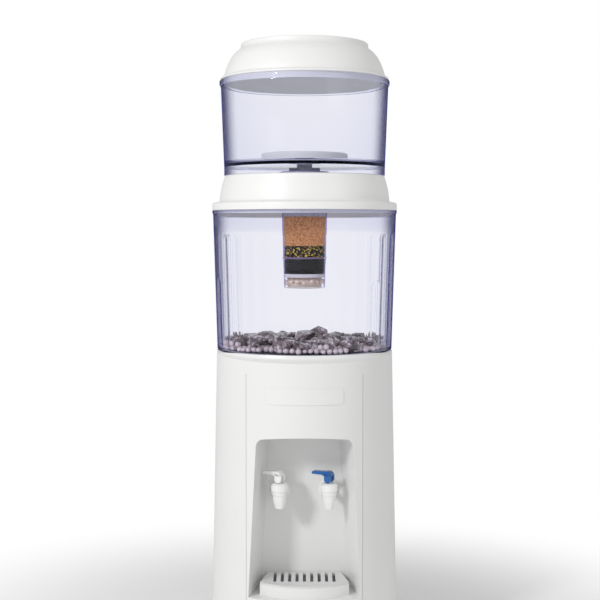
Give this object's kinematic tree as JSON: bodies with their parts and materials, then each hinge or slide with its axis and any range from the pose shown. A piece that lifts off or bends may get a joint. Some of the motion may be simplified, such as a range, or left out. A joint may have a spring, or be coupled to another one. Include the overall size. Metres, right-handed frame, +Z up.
{
  "type": "gravity water filter dispenser",
  "caption": "Two stacked clear tanks with ceramic disc, layered cartridge and mineral bed, on a tabletop cooler housing with lever taps in an alcove.",
  "frame": {"origin": "centre of the footprint at the bottom of the feet", "axes": "+Z up, the taps face -Y, +X is to the viewer's right"},
  "size_m": [0.3138, 0.3363, 1.001],
  "materials": {
    "white_housing": "smooth white housing plastic",
    "white_cover": "glossy white cover plastic",
    "white_trim": "white trim plastic",
    "grey_base": "grey base plastic",
    "rubber_feet": "dark rubber",
    "steel_fastener": "plain steel",
    "reservoir_plastic": "natural food plastic",
    "foam": "white insulating foam",
    "aluminium": "extruded aluminium",
    "ceramic_module": "white ceramic faces",
    "black_plastic": "black plastic",
    "rocker_plastic": "black rocker",
    "grille_plastic": "pale grey grille plastic",
    "tinted_clear": "clear plastic with a lavender-blue tint",
    "pink_mineral": "pinkish white mineral balls",
    "grey_stone": "grey mauve crystalline stones",
    "rubber_seal": "pale silicone rubber",
    "filter_ceramic": "white porous ceramic",
    "cartridge_white": "pale lilac white plastic",
    "cartridge_clear": "clear plastic",
    "bead_ceramic": "beige pink ceramic balls",
    "pad_fibre": "white fibre pad",
    "carbon": "black granules",
    "divider_plastic": "purple grey divider",
    "speckled_media": "black granules with gold specks",
    "orange_media": "orange brown granules",
    "lilac_foam": "grey lilac foam",
    "tap_white": "white tap plastic",
    "nut_plastic": "pale nut plastic",
    "spring_steel": "steel spring",
    "hose_silicone": "translucent silicone",
    "lever_white": "white lever plastic",
    "lever_blue": "blue lever plastic"
  },
  "bodies": {
    "dispenser": {"outer_shell": "white_housing", "front_panel": "white_housing", "name_plate": "white_trim", "top_collar": "white_housing", "base_plate": "grey_base", "feet": "rubber_feet", "base_screws": "steel_fastener", "inner_reservoir": "reservoir_plastic", "reservoir_baffle": "reservoir_plastic", "foam_jacket": "foam", "cold_block": "aluminium", "thermoelectric_module": "ceramic_module", "heat_sink": "aluminium", "fan_frame": "black_plastic", "power_inlet": "black_plastic", "switch_housing": "black_plastic", "white_tap_body": "tap_white", "white_tap_flange": "tap_white", "white_shank_nut": "nut_plastic", "white_tap_bonnet": "tap_white", "white_tap_spring": "spring_steel", "white_tap_hose": "hose_silicone", "blue_tap_body": "tap_white", "blue_tap_flange": "tap_white", "blue_shank_nut": "nut_plastic", "blue_tap_bonnet": "tap_white", "blue_tap_spring": "spring_steel", "blue_tap_hose": "hose_silicone"},
    "fan": {"fan_rotor": "black_plastic"},
    "rocker": {"rocker_switch": "rocker_plastic"},
    "white_plunger": {"white_tap_stem": "tap_white", "white_tap_seal": "rubber_seal"},
    "white_handle": {"white_lever": "lever_white", "white_lever_pin": "steel_fastener"},
    "blue_plunger": {"blue_tap_stem": "tap_white", "blue_tap_seal": "rubber_seal"},
    "blue_handle": {"blue_lever": "lever_blue", "blue_lever_pin": "steel_fastener"},
    "tray": {"drip_tray": "white_trim"},
    "grille": {"drip_grille": "grille_plastic"},
    "lower_vessel": {"lower_tank": "tinted_clear", "outlet_strainer": "white_trim", "mineral_balls": "pink_mineral", "mineral_stones": "grey_stone"},
    "cover": {"middle_cover": "white_cover"},
    "upper_vessel": {"upper_tank": "tinted_clear", "stem_gasket": "rubber_seal", "ceramic_holder": "white_trim", "ceramic_disc": "filter_ceramic", "wing_nut": "white_trim", "cartridge_cap": "cartridge_white", "cartridge_sleeve": "cartridge_clear", "ceramic_beads": "bead_ceramic", "filter_pad": "pad_fibre", "carbon_layer": "carbon", "layer_divider": "divider_plastic", "speckled_layer": "speckled_media", "orange_layer": "orange_media", "top_foam": "lilac_foam"},
    "lid": {"lid": "white_cover"}
  },
  "joints": [
    {"name": "white_plunger_lift", "type": "slide", "parent": "dispenser", "child": "white_plunger", "axis": [0, 0, 1], "range_m": [0, 0.0032], "deforming": ["white_tap_spring"]},
    {"name": "white_lever_tilt", "type": "hinge", "parent": "white_plunger", "child": "white_handle", "pos_m": [-0.04, -0.108, 0.289], "axis": [-0.4226, -0.9063, 0], "range_deg": [0, 30], "stiffness_Nm_per_rad": 0.0144, "springref_deg": -38.22},
    {"name": "blue_plunger_lift", "type": "slide", "parent": "dispenser", "child": "blue_plunger", "axis": [0, 0, 1], "range_m": [0, 0.0032], "deforming": ["blue_tap_spring"]},
    {"name": "blue_lever_tilt", "type": "hinge", "parent": "blue_plunger", "child": "blue_handle", "pos_m": [0.04, -0.108, 0.289], "axis": [-0.4226, -0.9063, 0], "range_deg": [0, 30], "stiffness_Nm_per_rad": 0.0144, "springref_deg": -38.22},
    {"name": "fan_spin", "type": "hinge", "parent": "dispenser", "child": "fan", "pos_m": [0, 0.045, 0.28], "axis": [0, 0, 1], "continuous": true},
    {"name": "rocker_tilt", "type": "hinge", "parent": "dispenser", "child": "rocker", "pos_m": [0.045, 0.1595, 0.07], "axis": [1, 0, 0], "range_deg": [0, 14]},
    {"name": "tray_slide", "type": "slide", "parent": "dispenser", "child": "tray", "axis": [0, -1, 0], "range_m": [0, 0.08]},
    {"name": "grille_lift", "type": "slide", "parent": "tray", "child": "grille", "axis": [0, 0, 1], "range_m": [0, 0.04]},
    {"name": "lower_vessel_lift", "type": "slide", "parent": "dispenser", "child": "lower_vessel", "axis": [0, 0, 1], "range_m": [0, 0.08]},
    {"name": "cover_lift", "type": "slide", "parent": "lower_vessel", "child": "cover", "axis": [0, 0, 1], "range_m": [0, 0.06]},
    {"name": "upper_vessel_lift", "type": "slide", "parent": "cover", "child": "upper_vessel", "axis": [0, 0, 1], "range_m": [0, 0.21]},
    {"name": "lid_lift", "type": "slide", "parent": "upper_vessel", "child": "lid", "axis": [0, 0, 1], "range_m": [0, 0.12]}
  ],
  "couplings": [
    {"joint": "white_plunger_lift", "follows": "white_lever_tilt", "m_per_rad": 0.006},
    {"joint": "blue_plunger_lift", "follows": "blue_lever_tilt", "m_per_rad": 0.006}
  ]
}
